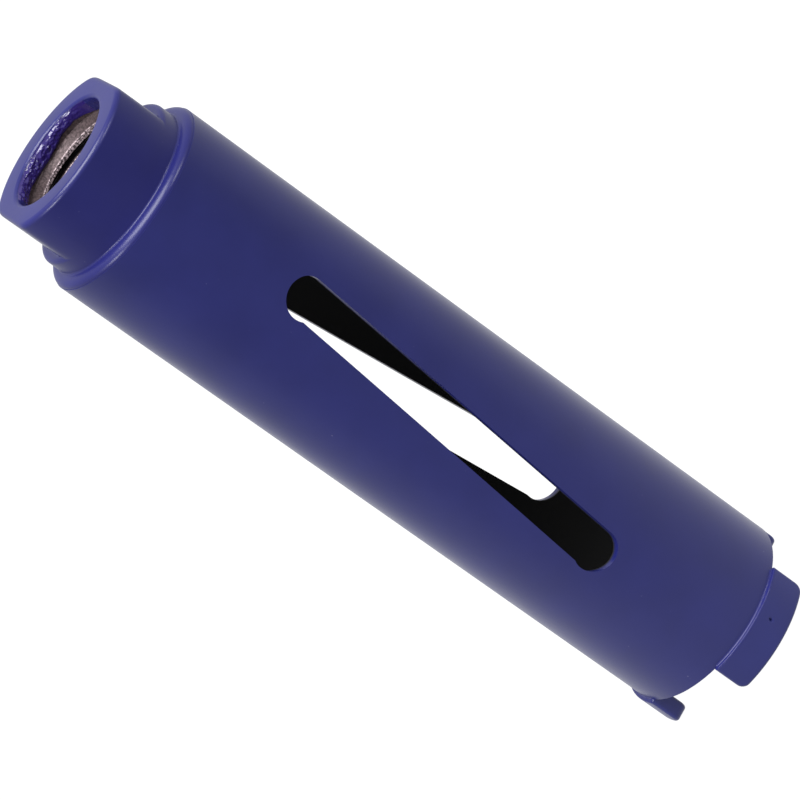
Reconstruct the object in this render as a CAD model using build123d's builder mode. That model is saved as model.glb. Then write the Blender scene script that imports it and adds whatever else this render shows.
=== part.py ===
from build123d import *
from math import cos, radians, sin
import os

# Dry diamond core bit, nominally 38 mm by 150 mm. All sizes are in millimetres and degrees.
# The bit stands on its cutting segments: Z = 0 is their cutting face, and +Z runs up the axis to the hub.
# The hub's two spanner flats face +X and -X.

overall_length = 152.0

# Barrel tube
tube_radius = 18.0
tube_wall = 1.75
tube_bottom = 6.75

# Slanted slots through the tube wall, each drilled out at both ends. They are cut by hand, so the
# two differ a little. Each row holds the slot's lower and upper angle, the angles of its lower and
# upper hole, and the angle that the cutter came in from.
slot_width = 7.3
slot_hole_radius = 3.8
slot_lower_z = 38.9
slot_upper_z = 107.8
slot_rows = (
    (-97.2, -77.8, -97.7, -78.8, -82.0),
    (80.8, 101.1, 80.8, 101.1, 98.0),
)

# Diamond segments on the lower rim. They are brazed on by hand, so their spacing is a little uneven.
segment_middle_angles = (-79.0, 47.0, 160.5)
segment_arc = 68.9
segment_height = tube_bottom
segment_outer_radius = 18.75
segment_thickness = 3.25
segment_corner_round = 1.6
segment_edge_break = 0.5

# Hub, turned from one bar
hub_shoulder_drop = 14.3
hub_shoulder_radius = 17.9
hub_shoulder_round = 1.3
hub_boss_radius = 15.75
hub_boss_round = 1.2
hub_spigot_length = 8.0
hub_spigot_chamfer = 0.8
hub_spigot_clearance = 0.02

# Spanner flats, milled from the face down to the round collar
flat_across = 27.8
flat_length = 9.3
collar_round = 0.9

# Bore of the hub, at the minor diameter of its half-inch pipe thread
bore_radius = 9.32
bore_chamfer = 0.9
mouth_radius = 10.6
mouth_depth = 3.4
mouth_edge_break = 0.8

# Heights and radii that follow
tube_bore_radius = tube_radius - tube_wall
tube_top = overall_length - hub_shoulder_drop
shoulder_face = tube_top + hub_shoulder_round
collar_top = overall_length - flat_length
spigot_radius = tube_bore_radius - hub_spigot_clearance
spigot_end = tube_top - hub_spigot_length
segment_inner_radius = segment_outer_radius - segment_thickness

os.makedirs("parts", exist_ok=True)


# Hub: the boss has two milled flats, and its face is rounded off all the way round. It stands on the
# turned collar, with the shoulder and the spigot below. The bore goes through them all.
with BuildPart() as hub:
    with BuildSketch(Plane.XY.offset(collar_top - collar_round)):
        Circle(hub_boss_radius)
        Rectangle(flat_across, 2 * hub_boss_radius, mode=Mode.INTERSECT)
    extrude(amount=flat_length + collar_round)
    fillet(hub.faces().sort_by(Axis.Z)[-1].edges(), radius=hub_boss_round)

    with BuildSketch(Plane.XZ):
        with BuildLine():
            FilletPolyline(
                (0, collar_top),
                (hub_boss_radius, collar_top),
                (hub_boss_radius, shoulder_face),
                (hub_shoulder_radius, shoulder_face),
                (hub_shoulder_radius, tube_top),
                radius=(collar_round, 0, hub_shoulder_round),
            )
            Polyline(
                (hub_shoulder_radius, tube_top),
                (spigot_radius, tube_top),
                (spigot_radius, spigot_end + hub_spigot_chamfer),
                (spigot_radius - hub_spigot_chamfer, spigot_end),
                (0, spigot_end),
                (0, collar_top),
            )
        make_face()
    revolve(axis=Axis.Z)

    mouth_bottom = overall_length - mouth_depth
    with BuildSketch(Plane.XZ):
        with BuildLine():
            Polyline(
                (0, spigot_end),
                (bore_radius + bore_chamfer, spigot_end),
                (bore_radius, spigot_end + bore_chamfer),
                (bore_radius, mouth_bottom - mouth_radius + bore_radius),
                (mouth_radius, mouth_bottom),
                (mouth_radius, overall_length - mouth_edge_break),
                (mouth_radius + mouth_edge_break, overall_length),
                (0, overall_length),
                close=True,
            )
        make_face()
    revolve(axis=Axis.Z, mode=Mode.SUBTRACT)

hub.part.label = "hub"
export_step(hub.part, "parts/hub.step")


# Barrel tube: a plain tube with two slots. Each slot leans around the tube, and it is cut straight
# in from one side through one wall only, on a plane that faces the cutter.
with BuildPart() as barrel_tube:
    with BuildSketch(Plane.XY.offset(tube_bottom)):
        Circle(tube_radius)
        Circle(tube_bore_radius, mode=Mode.SUBTRACT)
    extrude(amount=tube_top - tube_bottom)

    for lower_angle, upper_angle, lower_hole_angle, upper_hole_angle, cutter_angle in slot_rows:
        facing = radians(cutter_angle)
        outward = Vector(cos(facing), sin(facing), 0)
        around = Vector(-sin(facing), cos(facing), 0)
        across = [
            tube_radius * sin(radians(angle - cutter_angle))
            for angle in (lower_angle, upper_angle, lower_hole_angle, upper_hole_angle)
        ]
        middle_line = Edge.make_line((across[0], slot_lower_z), (across[1], slot_upper_z))
        with BuildSketch(Plane(origin=(0, 0, 0), x_dir=around, z_dir=outward)):
            SlotArc(middle_line, slot_width)
            with Locations((across[2], slot_lower_z), (across[3], slot_upper_z)):
                Circle(slot_hole_radius)
        extrude(amount=tube_radius + tube_wall, mode=Mode.SUBTRACT)

barrel_tube.part.label = "barrel_tube"
export_step(barrel_tube.part, "parts/barrel_tube.step")


# Diamond segments: curved blocks on the tube's lower end, proud of it inside and out. The two
# ends of each cutting face are well rounded, and the outer edges below the joint are broken.
for index, middle_angle in enumerate(segment_middle_angles):
    start_angle = middle_angle - segment_arc / 2
    with BuildPart() as segment:
        with BuildSketch():
            with BuildLine():
                outer = CenterArc((0, 0), segment_outer_radius, start_angle, segment_arc)
                inner = CenterArc((0, 0), segment_inner_radius, start_angle, segment_arc)
                Line(outer @ 0, inner @ 0)
                Line(outer @ 1, inner @ 1)
            make_face()
        extrude(amount=segment_height)
        cutting_face = segment.faces().sort_by(Axis.Z)[0]
        fillet(cutting_face.edges().filter_by(GeomType.LINE), radius=segment_corner_round)
        outer_face = segment.faces().sort_by(SortBy.AREA)[-1]
        below_joint = outer_face.edges().filter_by_position(
            Axis.Z, 0, segment_height, inclusive=(True, False)
        )
        chamfer(below_joint, length=segment_edge_break)

    segment.part.label = f"segment_{index + 1}"
    export_step(segment.part, f"parts/segment_{index + 1}.step")
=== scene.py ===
import bpy
import bmesh
import math
from mathutils import Matrix, Vector, noise


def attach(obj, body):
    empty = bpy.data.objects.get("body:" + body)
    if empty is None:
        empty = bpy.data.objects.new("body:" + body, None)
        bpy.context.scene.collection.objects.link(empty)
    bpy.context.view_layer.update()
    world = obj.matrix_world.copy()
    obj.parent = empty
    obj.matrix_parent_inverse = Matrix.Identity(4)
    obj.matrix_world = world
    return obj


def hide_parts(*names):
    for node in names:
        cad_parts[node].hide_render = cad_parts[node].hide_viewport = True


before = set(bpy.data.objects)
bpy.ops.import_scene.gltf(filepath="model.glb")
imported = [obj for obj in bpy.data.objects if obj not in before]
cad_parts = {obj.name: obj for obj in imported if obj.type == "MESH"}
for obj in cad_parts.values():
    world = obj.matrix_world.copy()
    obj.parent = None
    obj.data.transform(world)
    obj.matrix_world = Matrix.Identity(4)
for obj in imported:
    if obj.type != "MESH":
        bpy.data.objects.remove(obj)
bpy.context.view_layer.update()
shot = bpy.context.scene


# Camera: a long lens that looks down on the upright bit. It is rolled, so the bit lies aslant in
# the frame with its hub at the upper left.
camera_data = bpy.data.cameras.new("camera")
camera_data.sensor_width = 36.0
camera_data.lens = 206.93
camera_data.clip_start = 0.05
camera_data.clip_end = 20.0
camera = bpy.data.objects.new("camera", camera_data)
shot.collection.objects.link(camera)
camera.matrix_world = Matrix((
    (0.572502, 0.81951, -0.024958, -0.020044),
    (-0.331339, 0.203412, -0.921312, -0.718147),
    (-0.749964, 0.535734, 0.387998, 0.379197),
    (0.0, 0.0, 0.0, 1.0),
))
shot.camera = camera
shot.view_settings.view_transform = "Standard"


# Studio: a broad pale floor that glows white round the bit and falls to grey in front of it and
# beside it, an even white room, one large softbox overhead and a small one at each side.
floor_half = 6.0
floor_mesh = bpy.data.meshes.new("floor")
floor_mesh.from_pydata(
    [(-floor_half, -floor_half, 0), (floor_half, -floor_half, 0),
     (floor_half, floor_half, 0), (-floor_half, floor_half, 0)], [], [(0, 1, 2, 3)])
floor = bpy.data.objects.new("floor", floor_mesh)
shot.collection.objects.link(floor)



def remap(tree, value, low, high, low_gives=0.0, high_gives=1.0):
    """Turns a value from low to high into one from what low gives to what high gives."""
    span = tree.nodes.new("ShaderNodeMapRange")
    span.inputs["From Min"].default_value = low
    span.inputs["From Max"].default_value = high
    span.inputs["To Min"].default_value = low_gives
    span.inputs["To Max"].default_value = high_gives
    tree.links.new(value, span.inputs["Value"])
    return span.outputs["Result"]


floor_paint = bpy.data.materials.new("floor")
floor_paint.use_nodes = True
tree = floor_paint.node_tree
nodes, links = tree.nodes, tree.links
shader = nodes["Principled BSDF"]
shader.inputs["Base Color"].default_value = (0.03, 0.03, 0.03, 1)
shader.inputs["Roughness"].default_value = 0.9
shader.inputs["Specular IOR Level"].default_value = 0.1
shader.inputs["Emission Color"].default_value = (1, 1, 1, 1)
place = nodes.new("ShaderNodeTexCoord")
apart = nodes.new("ShaderNodeSeparateXYZ")
aside = nodes.new("ShaderNodeMath")
aside.operation = "ABSOLUTE"
glow = nodes.new("ShaderNodeMath")
glow.operation = "MULTIPLY"
links.new(place.outputs["Object"], apart.inputs["Vector"])
links.new(apart.outputs["X"], aside.inputs[0])

# Each run goes from its far end, at 0, to the bit, at 1, and gives the glow's strength on the way.
far_ahead = -0.45
run_ahead = ((0.0, 0.38), (0.18, 0.3), (0.27, 0.4), (0.4, 0.53), (0.56, 0.62), (0.78, 0.66),
             (0.84, 0.76), (0.885, 1.0), (1.0, 1.0))
far_aside = 0.35
run_aside = ((0.0, 0.66), (0.12, 0.66), (0.3, 0.68), (0.5, 0.78), (0.62, 0.86), (0.7, 0.99), (1.0, 1.0))
for number, (position, far_end, run) in enumerate((
    (apart.outputs["Y"], far_ahead, run_ahead),
    (aside.outputs["Value"], far_aside, run_aside),
)):
    fall = nodes.new("ShaderNodeFloatCurve")
    curve = fall.mapping.curves[0]
    curve.points[0].location = run[0]
    curve.points[-1].location = run[-1]
    for share, strength in run[1:-1]:
        curve.points.new(share, strength)
    fall.mapping.update()
    links.new(remap(tree, position, far_end, 0.0), fall.inputs["Value"])
    links.new(fall.outputs["Value"], glow.inputs[number])
links.new(glow.outputs["Value"], shader.inputs["Emission Strength"])
floor_mesh.materials.append(floor_paint)

studio = bpy.data.worlds.new("studio")
studio.use_nodes = True
room = studio.node_tree.nodes["Background"]
room.inputs["Color"].default_value = (1, 1, 1, 1)
room.inputs["Strength"].default_value = 0.74
shot.world = studio

aimed_at = Vector((0, 0, 0.1))
for name, stands, size, power in (
    ("softbox_overhead", Vector((0.0, -0.18, 1.34)), 0.9, 38.0),
    ("softbox_left", Vector((-0.77, -0.45, 0.6)), 0.3, 6.5),
    ("softbox_right", Vector((0.75, -0.49, 0.6)), 0.3, 4.0),
):
    lamp_data = bpy.data.lights.new(name, "AREA")
    lamp_data.shape = "SQUARE"
    lamp_data.size = size
    lamp_data.energy = power
    lamp = bpy.data.objects.new(name, lamp_data)
    lamp.location = stands
    lamp.rotation_mode = "QUATERNION"
    lamp.rotation_quaternion = (stands - aimed_at).to_track_quat("Z", "Y")
    shot.collection.objects.link(lamp)


# Hub: one turned and milled steel piece with a shoulder, a round collar and two spanner flats.
# It is sprayed dark blue, and the paint has run over the rounded lip into the mouth of the bore,
# where it hangs on the far wall as a thick, lumpy bead.
def piece_from_rings(name, rings, joined_ends, joined_sides, crease=38):
    """A mesh through rings of points in millimetres, smooth but for edges sharper than the crease."""
    count = len(rings[0])
    corners = [(x / 1000, y / 1000, z / 1000) for ring in rings for x, y, z in ring]
    faces = []
    for a in range(len(rings) if joined_ends else len(rings) - 1):
        b = (a + 1) % len(rings)
        for i in range(count if joined_sides else count - 1):
            j = (i + 1) % count
            faces.append((a * count + i, a * count + j, b * count + j, b * count + i))
    mesh = bpy.data.meshes.new(name)
    mesh.from_pydata(corners, [], faces)
    shaped = bmesh.new()
    shaped.from_mesh(mesh)
    bmesh.ops.remove_doubles(shaped, verts=shaped.verts, dist=1e-7)
    if not joined_ends:
        bmesh.ops.holes_fill(shaped, edges=[e for e in shaped.edges if e.is_boundary], sides=0)
    bmesh.ops.recalc_face_normals(shaped, faces=shaped.faces)
    for face in shaped.faces:
        face.smooth = True
    for edge in shaped.edges:
        if len(edge.link_faces) == 2 and edge.calc_face_angle(0) > math.radians(crease):
            edge.smooth = False
    shaped.to_mesh(mesh)
    shaped.free()
    piece = bpy.data.objects.new(name, mesh)
    shot.collection.objects.link(piece)
    return piece


def noise_pattern(tree, scale, detail):
    """A pattern of noise laid on the piece in its own frame."""
    place = tree.nodes.new("ShaderNodeTexCoord")
    pattern = tree.nodes.new("ShaderNodeTexNoise")
    pattern.inputs["Scale"].default_value = scale
    pattern.inputs["Detail"].default_value = detail
    tree.links.new(place.outputs["Object"], pattern.inputs["Vector"])
    return pattern.outputs["Fac"]


def two_tones(tree, value, low, low_colour, high, high_colour):
    """A colour that goes from one tone to another as the value rises."""
    tones = tree.nodes.new("ShaderNodeValToRGB")
    tones.color_ramp.elements[0].position = low
    tones.color_ramp.elements[0].color = (*low_colour, 1)
    tones.color_ramp.elements[1].position = high
    tones.color_ramp.elements[1].color = (*high_colour, 1)
    tree.links.new(value, tones.inputs["Fac"])
    return tones.outputs["Color"]


def blend_colours(tree, share, first, second):
    """Mixes two colours, where each is a socket or three plain values."""
    blend = tree.nodes.new("ShaderNodeMix")
    blend.data_type = "RGBA"
    tree.links.new(share, blend.inputs["Factor"])
    for side, colour in (("A", first), ("B", second)):
        if isinstance(colour, tuple):
            blend.inputs[side].default_value = (*colour, 1)
        else:
            tree.links.new(colour, blend.inputs[side])
    return blend.outputs["Result"]


def raise_surface(tree, height, strength, distance):
    """A bump, for grain too fine to model."""
    bump = tree.nodes.new("ShaderNodeBump")
    bump.inputs["Strength"].default_value = strength
    bump.inputs["Distance"].default_value = distance
    tree.links.new(height, bump.inputs["Height"])
    return bump.outputs["Normal"]


def blue_paint(name, colour, roughness, peel, shine=0.31):
    """Sprayed satin paint: a slow drift of shade and gloss, a fine peel and a few specks of dust."""
    paint = bpy.data.materials.new(name)
    paint.use_nodes = True
    tree = paint.node_tree
    shader = tree.nodes["Principled BSDF"]
    shader.inputs["Specular IOR Level"].default_value = shine
    darker = tuple(c * 0.93 for c in colour)
    lighter = tuple(c * 1.07 for c in colour)
    gloss_drift = 0.025
    dust_colour = (0.2, 0.2, 0.32)
    peel_height = 0.00004
    drift = noise_pattern(tree, 110, 4)
    tint = two_tones(tree, drift, 0.3, darker, 0.7, lighter)
    fleck = remap(tree, noise_pattern(tree, 1500, 1), 0.8, 0.86, 0.0, 0.35)
    gloss = remap(tree, drift, 0.3, 0.7, roughness - gloss_drift, roughness + gloss_drift)
    skin = raise_surface(tree, noise_pattern(tree, 1300, 2), peel, peel_height)
    tree.links.new(blend_colours(tree, fleck, tint, dust_colour), shader.inputs["Base Color"])
    tree.links.new(gloss, shader.inputs["Roughness"])
    tree.links.new(skin, shader.inputs["Normal"])
    return paint


def between(table, value):
    """Reads a value out of a table of pairs, with a smooth run from each pair to the next."""
    value = min(max(value, table[0][0]), table[-1][0])
    for (a, low), (b, high) in zip(table, table[1:]):
        if a <= value <= b:
            t = (value - a) / (b - a)
            return low + (high - low) * t * t * (3 - 2 * t)


# Sizes of the hub in millimetres. Depths are measured down from its face.
face_height = 152.0
boss_radius = 15.75
flat_from_axis = 13.9
flat_corner_blend = 0.3
face_edge_round = 0.95
collar_top = 142.7
collar_round = 0.9
flat_foot_round = 0.35
boss_starts = 139.42
shoulder_fillet = 0.4
shoulder_wide = 1.8
shoulder_tall = 1.32
shoulder_radius = 17.9
shoulder_sweep = math.radians(82)
tube_top = 137.7
spigot_radius = 16.23
spigot_end = 129.7
spigot_chamfer = 0.8
bore_behind_thread = 10.66
mouth_radius = 10.6

# The paint in the mouth, by degrees round the axis from the near side, which faces the camera. The
# run's lower edge wanders, and the run is thickest on the far wall. Its section goes from the face,
# at 0, to its lower edge, at 1. The lip is rounded more on the near side than on the far one.
near_side = -91.6
lip_round = 0.72
lip_round_change = 0.3
run_lower_edge = ((-1, 2.6), (60, 2.7), (105, 2.7), (137, 2.8), (151, 3.15), (168, 3.3), (183, 3.1),
                  (197, 2.57), (211, 2.5), (223, 2.83), (241, 3.4), (270, 3.1), (300, 2.9), (361, 2.6))
run_thickness = ((-1, 0.07), (96, 0.07), (112, 0.42), (140, 0.55), (175, 0.6), (200, 0.5), (214, 0.25),
                 (228, 0.09), (361, 0.07))
run_section = ((0.0, 0.0), (0.14, 0.25), (0.34, 0.9), (0.5, 1.0), (0.8, 0.95), (0.93, 0.6), (1.0, 0.0))
run_starts = 104
run_ends = 240
run_bottom = 148.0
run_top = 151.6
edge_wander = 0.16
coarse_lumps = 0.42
fine_lumps = 0.2
coat = 0.03
coat_drift = 0.02
coat_full_depth = 0.3
lip_rows = 10
wall_rows = 36


def from_near_side(angle):
    """Degrees round the axis from the near side, for an angle in radians."""
    return (near_side - math.degrees(angle)) % 360


def hub_outline(angle, inset):
    """Radius of the boss with its two flats, moved inwards by the inset, with soft corners."""
    round_part = boss_radius - inset
    flat_part = (flat_from_axis - inset) / max(abs(math.cos(angle)), 1e-3)
    if flat_part > round_part + 2:
        return round_part
    soft = flat_corner_blend
    return -soft * math.log(math.exp(-round_part / soft) + math.exp(-flat_part / soft))


hub_angles = [math.radians(i * 0.5) for i in range(720)]
hub_rings = []


def hub_ring(radius_at, height):
    """Adds one ring to the hub, with its radius given by a function of the angle."""
    hub_rings.append([
        (radius_at(a) * math.cos(a), radius_at(a) * math.sin(a), height) for a in hub_angles])


def arc_turns(steps, first=0, sweep=math.pi / 2):
    """Angles along a round in equal steps. The round is a quarter of a circle unless its sweep is given."""
    return [sweep * i / steps for i in range(first, steps + 1)]


for radius, height in (
    (bore_behind_thread, spigot_end),
    (spigot_radius - spigot_chamfer, spigot_end),
    (spigot_radius, spigot_end + spigot_chamfer),
    (spigot_radius, tube_top),
    (shoulder_radius, tube_top),
):
    hub_ring(lambda a: radius, height)
for turn in arc_turns(8, first=1, sweep=shoulder_sweep):
    hub_ring(lambda a: shoulder_radius + shoulder_wide * (math.cos(turn) - 1),
             tube_top + shoulder_tall * math.sin(turn))
for turn in arc_turns(5):
    hub_ring(lambda a: boss_radius + shoulder_fillet * (1 - math.sin(turn)),
             boss_starts - shoulder_fillet * math.cos(turn))
collar_starts = collar_top - collar_round
hub_ring(lambda a: boss_radius, collar_starts)
for turn in arc_turns(8, first=1):
    hub_ring(lambda a: max(hub_outline(a, 0), boss_radius - collar_round * (1 - math.cos(turn))),
             collar_starts + collar_round * math.sin(turn))
for turn in arc_turns(4):
    hub_ring(lambda a: min(hub_outline(a, 0) + flat_foot_round * (1 - math.sin(turn)),
                           max(hub_outline(a, 0), boss_radius - collar_round)),
             collar_top + flat_foot_round * (1 - math.cos(turn)))
for turn in arc_turns(12):
    hub_ring(lambda a: hub_outline(a, face_edge_round * (1 - math.cos(turn))),
             face_height - face_edge_round + face_edge_round * math.sin(turn))

for row in range(lip_rows + wall_rows + 1):
    ring = []
    turn = math.pi / 2 * min(row, lip_rows) / lip_rows
    below_lip = max(row - lip_rows, 0) / wall_rows
    for a in hub_angles:
        far = from_near_side(a)
        lip = lip_round + lip_round_change * math.cos(math.radians(far))
        lowest = between(run_lower_edge, far) + edge_wander * noise.noise(Vector((far / 7, 3.1, 0.7)))
        depth = lip * (1 - math.cos(turn)) + (lowest - lip) * below_lip
        thick = between(run_thickness, far) * between(run_section, depth / lowest)
        spot = Vector((math.cos(a) * mouth_radius, math.sin(a) * mouth_radius, depth * 1.3))
        lumps = coarse_lumps * noise.noise(spot * 0.9)
        lumps += fine_lumps * noise.noise(spot * 2.2 + Vector((7, 3, 1)))
        thick *= 1 + lumps
        thick += (coat + coat_drift * noise.noise(spot * 2.0)) * min(depth / coat_full_depth, 1)
        if row == lip_rows + wall_rows:
            thick = mouth_radius - bore_behind_thread
        radius = mouth_radius + lip * (1 - math.sin(turn)) - thick
        ring.append((radius * math.cos(a), radius * math.sin(a), face_height - depth))
    hub_rings.append(ring)
hub = piece_from_rings("hub_turned", hub_rings, True, True)
# The hub's blue is made darker than the tube's and the segments': painted shade on the boss.
hub.data.materials.append(blue_paint("hub_paint", (0.0086, 0.0093, 0.078), 0.33, 0.12, 0.27))
run_paint = blue_paint("run_paint", (0.0165, 0.009, 0.088), 0.17, 0.25, 0.5)
hub.data.materials.append(run_paint)
for face in hub.data.polygons:
    on_far_wall = run_starts < from_near_side(math.atan2(face.center.y, face.center.x)) < run_ends
    in_mouth = math.hypot(face.center.x, face.center.y) < bore_behind_thread / 1000
    if on_far_wall and in_mouth and run_bottom < face.center.z * 1000 < run_top:
        face.material_index = 1
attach(hub, "root")
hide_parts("hub")


# Bore thread: the hub's half-inch pipe thread, cut in the bare steel below the painted lip. Its first
# turn starts in a rough countersink. The first crest is torn. The crests are coloured light, a painted
# highlight, and the grooves below the countersink near black, a painted shade.
thread_pitch = 1.814
crest_radius = 9.32
crest_half_width = 0.3
flank_slope = 1.92
groove_depth = 1.0
first_crest_depth = 4.98
first_crest_angle = 160
groove_grows_over = 50
countersink_depth = 3.4
bore_chamfer = 0.9
thread_back = 10.65
torn_from = 4.75
torn_to = 6.2
torn_height = 0.1
plain_height = 0.02
thread_depths = [1.3 + 0.08 * i for i in range(110)] + [10.1 + 0.14 * i for i in range(80)]

thread_rings = []
for a in [math.radians(i * 1.5) for i in range(240)]:
    far = from_near_side(a)
    crest_depth = first_crest_depth + (far - first_crest_angle) / 360 * thread_pitch
    ring = []
    for depth in thread_depths:
        off_crest = abs((depth - crest_depth + thread_pitch / 2) % thread_pitch - thread_pitch / 2)
        groove = min(max(off_crest - crest_half_width, 0) * flank_slope, groove_depth)
        if depth < crest_depth:
            groove = 0
        elif depth < crest_depth + thread_pitch:
            groove *= min(far / groove_grows_over, 1)
        countersink = mouth_radius - max(depth - countersink_depth, 0)
        radius = max(crest_radius + groove, countersink)
        spot = Vector((math.cos(a) * 9.5, math.sin(a) * 9.5, depth))
        rough = torn_height if torn_from < depth < torn_to else plain_height
        radius += rough * noise.noise(spot * 3.1) + 0.5 * rough * noise.noise(spot * 8.0)
        ring.append((radius * math.cos(a), radius * math.sin(a), face_height - depth))
    for radius, height in (
        (crest_radius + bore_chamfer, spigot_end),
        (thread_back, spigot_end),
        (thread_back, face_height - thread_depths[0]),
    ):
        ring.append((radius * math.cos(a), radius * math.sin(a), height))
    thread_rings.append(ring)
hub_thread = piece_from_rings("hub_thread", thread_rings, True, True, crease=60)


def from_axis_and_height(tree):
    """A point's distance from the bit's axis, and its height, both in metres."""
    place = tree.nodes.new("ShaderNodeTexCoord")
    apart = tree.nodes.new("ShaderNodeSeparateXYZ")
    flat = tree.nodes.new("ShaderNodeCombineXYZ")
    from_axis = tree.nodes.new("ShaderNodeVectorMath")
    from_axis.operation = "LENGTH"
    tree.links.new(place.outputs["Object"], apart.inputs["Vector"])
    tree.links.new(apart.outputs["X"], flat.inputs["X"])
    tree.links.new(apart.outputs["Y"], flat.inputs["Y"])
    tree.links.new(flat.outputs["Vector"], from_axis.inputs[0])
    return from_axis.outputs["Value"], apart.outputs["Z"]


bare_steel = bpy.data.materials.new("bare_steel")
bare_steel.use_nodes = True
tree = bare_steel.node_tree
shader = tree.nodes["Principled BSDF"]
shader.inputs["Metallic"].default_value = 0.3
shader.inputs["Specular IOR Level"].default_value = 0.2
from_axis, height = from_axis_and_height(tree)
grain = noise_pattern(tree, 2600, 3)
cut_steel = two_tones(tree, grain, 0.35, (0.024, 0.016, 0.0175), 0.68, (0.078, 0.055, 0.058))
# The crests are coloured far lighter than the cut steel between them: a painted highlight along the crest
# lines.
crest_highlight_steel = two_tones(tree, grain, 0.42, (0.05, 0.038, 0.042), 0.6, (0.4, 0.32, 0.34))
# The grooves below the countersink are coloured near black: painted shade in the thread's hollows.
groove_shade_colour = (0.006, 0.005, 0.006)
grain_height = 0.00006
on_crest = remap(tree, from_axis, 0.00948, 0.00936)
in_groove = remap(tree, from_axis, 0.00945, 0.00975)
below_countersink = remap(tree, height, 0.1478, 0.1468)
groove_shade = tree.nodes.new("ShaderNodeMath")
groove_shade.operation = "MULTIPLY"
tree.links.new(in_groove, groove_shade.inputs[0])
tree.links.new(below_countersink, groove_shade.inputs[1])
steel_with_crest_highlight = blend_colours(tree, on_crest, cut_steel, crest_highlight_steel)
with_groove_shade = blend_colours(tree, groove_shade.outputs["Value"], steel_with_crest_highlight, groove_shade_colour)
tree.links.new(with_groove_shade, shader.inputs["Base Color"])
tree.links.new(remap(tree, grain, 0.0, 1.0, 0.6, 0.3), shader.inputs["Roughness"])
tree.links.new(raise_surface(tree, grain, 0.5, grain_height), shader.inputs["Normal"])
hub_thread.data.materials.append(bare_steel)
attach(hub_thread, "root")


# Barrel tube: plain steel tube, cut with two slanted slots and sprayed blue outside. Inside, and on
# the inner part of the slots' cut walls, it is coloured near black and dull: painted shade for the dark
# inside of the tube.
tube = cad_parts["barrel_tube"]
tube_paint = blue_paint("tube_paint", (0.0098, 0.0118, 0.087), 0.33, 0.1)
tree = tube_paint.node_tree
shader = tree.nodes["Principled BSDF"]
painted_colour = shader.inputs["Base Color"].links[0].from_socket
painted_gloss = shader.inputs["Roughness"].links[0].from_socket
# Inside the tube the colour is near black: painted shade.
inside_shade_colour = (0.006, 0.006, 0.007)
inside_roughness = 0.75
outside = remap(tree, from_axis_and_height(tree)[0], 0.0164, 0.017)
gloss = tree.nodes.new("ShaderNodeMix")
gloss.inputs["A"].default_value = inside_roughness
tree.links.new(outside, gloss.inputs["Factor"])
tree.links.new(painted_gloss, gloss.inputs["B"])
tree.links.new(gloss.outputs["Result"], shader.inputs["Roughness"])
tree.links.new(blend_colours(tree, outside, inside_shade_colour, painted_colour), shader.inputs["Base Color"])
tube.data.materials.clear()
tube.data.materials.append(tube_paint)


# Diamond segments: three curved blocks of pressed metal powder and diamond grit, proud of the tube
# inside and out. Their edges are rounded, and they are sprayed the same blue. One has a small pit.
segment_outer_radius = 18.75
segment_inner_radius = 15.5
segment_arc = 68.9
segment_height = 6.75
segment_corner_round = 1.6
segment_edge_round = 0.65
segment_middles = (-79.0, 47.0, 160.5)
millimetres_per_degree = 0.327
end_rows = 8
corner_steps = 10
long_columns = 120
face_loops = 16
heart_height = 3.4
heart_from_end = 10.5
joint_edge_share = 0.2
corner_edge_share = 0.6


def segment_outline(inset, start):
    """The block's outer face, unrolled: degrees round the axis and height, with round lower ends."""
    inset_turn = math.degrees(inset / segment_outer_radius)
    left = start + inset_turn
    right = start + segment_arc - inset_turn
    low = inset
    high = segment_height - inset * joint_edge_share
    curve = segment_corner_round - inset * corner_edge_share
    curve_turn = math.degrees(curve / segment_outer_radius)
    straight = high - low - curve
    corner = arc_turns(corner_steps)[:-1]
    points = [(left, high - straight * i / end_rows) for i in range(end_rows)]
    points += [(left + curve_turn * (1 - math.cos(t)), low + curve * (1 - math.sin(t))) for t in corner]
    points += [(left + curve_turn + (right - left - 2 * curve_turn) * i / long_columns, low)
               for i in range(long_columns)]
    points += [(right - curve_turn * (1 - math.sin(t)), low + curve * (1 - math.cos(t))) for t in corner]
    points += [(right, low + curve + straight * i / end_rows) for i in range(end_rows)]
    points += [(right + (left - right) * i / long_columns, high) for i in range(long_columns)]
    return points


def sunk_by(pit, turn, height):
    """How deep a pit is at a point of the outer face. Outside the pit it is nothing."""
    pit_turn, pit_height, half_width, half_height, pit_depth = pit
    across = (turn - pit_turn) * millimetres_per_degree / half_width
    gap = math.hypot(across, (height - pit_height) / half_height)
    return pit_depth * max(1 - gap * gap, 0)


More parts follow.
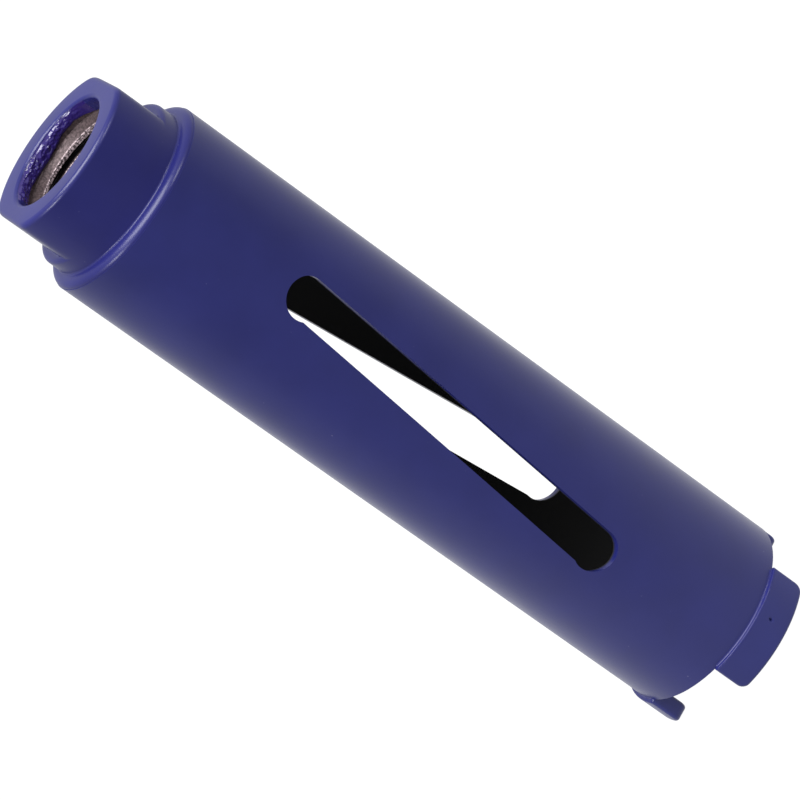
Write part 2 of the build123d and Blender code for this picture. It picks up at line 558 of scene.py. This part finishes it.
def segment_rings(start, pit):
    """Rings from the middle of the inner face, over the rounded edges, to the middle of the outer face."""
    rings = []
    outline = segment_outline(segment_edge_round, start)
    for radius, into_block in ((segment_inner_radius, 1), (segment_outer_radius, -1)):
        side = []
        for i in range(face_loops + 1):
            share = i / face_loops
            loop = []
            for turn, height in outline:
                heart_turn = min(max(turn, start + heart_from_end), start + segment_arc - heart_from_end)
                turn_now = heart_turn + (turn - heart_turn) * share
                height_now = heart_height + (height - heart_height) * share
                sunk = sunk_by(pit, turn_now, height_now) if pit and into_block < 0 else 0
                loop.append((radius - sunk, turn_now, height_now))
            side.append(loop)
        for tip in arc_turns(8, first=1):
            inset = segment_edge_round * (1 - math.sin(tip))
            edge_radius = radius + into_block * segment_edge_round * (1 - math.cos(tip))
            side.append([(edge_radius, turn, height) for turn, height in segment_outline(inset, start)])
        rings += side if into_block > 0 else side[::-1]
    return [[(r * math.cos(math.radians(t)), r * math.sin(math.radians(t)), z) for r, t, z in ring]
            for ring in rings]


# The pit's angle and height, half its width and half its height, and its depth.
front_pit = (-73.6, 4.05, 0.28, 0.5, 0.45)
segment_paint = blue_paint("segment_paint", (0.0095, 0.0122, 0.093), 0.36, 0.3)
for index, (middle, pit) in enumerate(zip(segment_middles, (front_pit, None, None))):
    rings = segment_rings(middle - segment_arc / 2, pit)
    segment = piece_from_rings(f"segment_block_{index + 1}", rings, False, True)
    segment.data.materials.append(segment_paint)
    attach(segment, "root")
    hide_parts(f"segment_{index + 1}")


# Braze: solder that holds each segment to the end of the tube. It has run out into a narrow bead
# along the joint, hollow above and round below, and the same blue paint covers it.
bead_root = 17.5
bead_bottom = 6.62
bead_half_arc = 34.2
bead_steps = 140
bead_end_steps = 5
bead_wave = 0.05
width_at_end = 0.4
height_at_end = 0.2
bead_section = ((bead_root, 7.25), (18.0, 7.25), (18.04, 7.08), (18.12, 6.97), (18.3, 6.9), (18.5, 6.86),
                (18.66, 6.82), (18.73, 6.76), (18.745, 6.69), (18.6, bead_bottom), (bead_root, bead_bottom))
braze_paint = blue_paint("braze_paint", (0.0098, 0.0112, 0.09), 0.3, 0.15)
for index, middle in enumerate(segment_middles):
    bead_rings = []
    for i in range(bead_steps + 1):
        turn = middle - bead_half_arc + 2 * bead_half_arc * i / bead_steps
        from_end = min(i, bead_steps - i)
        fullness = math.sqrt(1 - (1 - min(from_end / bead_end_steps, 1)) ** 2)
        wave = bead_wave * noise.noise(Vector((turn / 4, index * 5.0, 0.3)))
        widening = width_at_end + (1 - width_at_end) * fullness
        rise = (height_at_end + (1 - height_at_end) * fullness) * (1 + wave)
        angle = math.radians(turn)
        ring = []
        for radius, height in bead_section:
            radius = bead_root + (radius - bead_root) * widening
            height = bead_bottom + (height - bead_bottom) * rise
            ring.append((radius * math.cos(angle), radius * math.sin(angle), height))
        bead_rings.append(ring)
    bead = piece_from_rings(f"braze_bead_{index + 1}", bead_rings, False, True, crease=50)
    bead.data.materials.append(braze_paint)
    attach(bead, "root")
